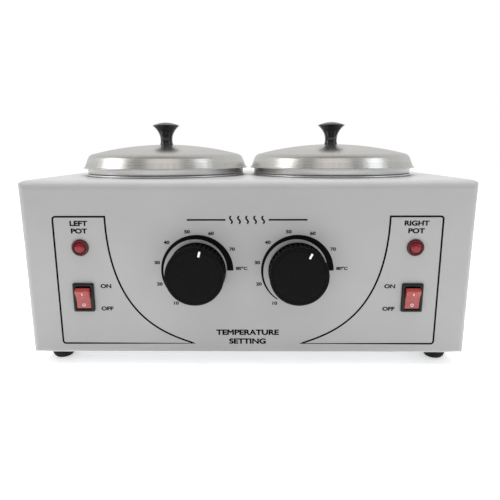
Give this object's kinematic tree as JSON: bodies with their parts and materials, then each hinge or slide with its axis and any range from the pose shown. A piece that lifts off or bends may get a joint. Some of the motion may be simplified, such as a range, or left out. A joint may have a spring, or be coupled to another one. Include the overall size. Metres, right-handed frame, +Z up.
{
  "type": "twin-pot wax warmer",
  "caption": "Twin-pot salon wax warmer: pale-grey steel housing, lift-out aluminium pots with lids, thermostat dials, pilot lamps and rocker switches.",
  "frame": {"origin": "middle of the whole object's footprint, on the surface that the feet stand on", "axes": "+Z up, the control panel faces -Y, +X to the right for someone who faces the panel"},
  "size_m": [0.32, 0.1925, 0.1799],
  "materials": {
    "housing_paint": "satin pale-grey enamel",
    "plated_steel": "zinc-plated",
    "foot_rubber": "matte",
    "well_aluminium": "spun",
    "heater_steel": "heat-toned",
    "insulation_fibre": "glass-fibre mat",
    "pot_aluminium": "spun",
    "lid_aluminium": "satin anodised",
    "lid_knob_plastic": "glossy",
    "thermostat_case": "moulded phenolic",
    "sensor_copper": "drawn copper",
    "dial_plastic": "moulded, fluted",
    "pointer_white": "printed white",
    "lamp_body": "moulded",
    "lamp_lens": "translucent red",
    "white_nylon": "moulded nylon",
    "switch_black": "moulded",
    "rocker_red": "translucent red",
    "terminal_brass": "stamped",
    "block_ceramic": "unglazed",
    "wire_insulation": "silicone sleeve",
    "gland_rubber": "moulded",
    "panel_print": "screen-printed ink"
  },
  "bodies": {
    "warmer_base": {"housing": "housing_paint", "base_plate": "plated_steel", "base_screws": "plated_steel", "foot_front_left": "foot_rubber", "foot_front_right": "foot_rubber", "foot_rear_left": "foot_rubber", "foot_rear_right": "foot_rubber", "foot_screws": "plated_steel", "foot_nuts": "plated_steel", "heating_well_left": "well_aluminium", "heating_well_right": "well_aluminium", "well_ring_left": "plated_steel", "well_ring_right": "plated_steel", "band_heater_left": "heater_steel", "band_heater_right": "heater_steel", "heater_clamp_screws": "plated_steel", "insulation_left": "insulation_fibre", "insulation_right": "insulation_fibre", "thermostat_left": "thermostat_case", "thermostat_right": "thermostat_case", "thermostat_screws": "plated_steel", "sensor_bulb_left": "sensor_copper", "sensor_bulb_right": "sensor_copper", "bulb_clip_left": "plated_steel", "bulb_clip_right": "plated_steel", "capillary_left": "sensor_copper", "capillary_right": "sensor_copper", "pilot_lamp_left": "lamp_body", "pilot_lamp_right": "lamp_body", "pilot_lens_left": "lamp_lens", "pilot_lens_right": "lamp_lens", "lamp_nuts": "white_nylon", "switch_frame_left": "switch_black", "switch_frame_right": "switch_black", "switch_terminals": "terminal_brass", "terminal_block": "block_ceramic", "terminal_screws": "terminal_brass", "earth_stud": "plated_steel", "wiring_left": "wire_insulation", "wiring_right": "wire_insulation", "cord_gland": "gland_rubber"},
    "left_pot": {"pot_left": "pot_aluminium"},
    "left_lid": {"lid_left": "lid_aluminium", "lid_knob_left": "lid_knob_plastic", "lid_screw_left": "plated_steel"},
    "left_dial": {"dial_spindle_left": "plated_steel", "dial_knob_left": "dial_plastic", "dial_pointer_left": "pointer_white"},
    "left_rocker": {"rocker_left": "rocker_red"},
    "right_pot": {"pot_right": "pot_aluminium"},
    "right_lid": {"lid_right": "lid_aluminium", "lid_knob_right": "lid_knob_plastic", "lid_screw_right": "plated_steel"},
    "right_dial": {"dial_spindle_right": "plated_steel", "dial_knob_right": "dial_plastic", "dial_pointer_right": "pointer_white"},
    "right_rocker": {"rocker_right": "rocker_red"}
  },
  "joints": [
    {"name": "left_pot_lift", "type": "slide", "parent": "warmer_base", "child": "left_pot", "axis": [0, 0, 1], "range_m": [0, 0.1]},
    {"name": "left_lid_lift", "type": "slide", "parent": "left_pot", "child": "left_lid", "axis": [0, 0, 1], "range_m": [0, 0.1]},
    {"name": "left_dial_turn", "type": "hinge", "parent": "warmer_base", "child": "left_dial", "pos_m": [-0.0356, -0.07775, 0.0728], "axis": [0, 1, 0], "range_deg": [-160, 80]},
    {"name": "left_rocker_tilt", "type": "hinge", "parent": "warmer_base", "child": "left_rocker", "pos_m": [-0.118, -0.07685, 0.0529], "axis": [-1, 0, 0], "range_deg": [0, 30]},
    {"name": "right_pot_lift", "type": "slide", "parent": "warmer_base", "child": "right_pot", "axis": [0, 0, 1], "range_m": [0, 0.1]},
    {"name": "right_lid_lift", "type": "slide", "parent": "right_pot", "child": "right_lid", "axis": [0, 0, 1], "range_m": [0, 0.1]},
    {"name": "right_dial_turn", "type": "hinge", "parent": "warmer_base", "child": "right_dial", "pos_m": [0.0356, -0.07775, 0.0728], "axis": [0, 1, 0], "range_deg": [-174, 66]},
    {"name": "right_rocker_tilt", "type": "hinge", "parent": "warmer_base", "child": "right_rocker", "pos_m": [0.118, -0.07685, 0.0529], "axis": [-1, 0, 0], "range_deg": [0, 30]}
  ]
}
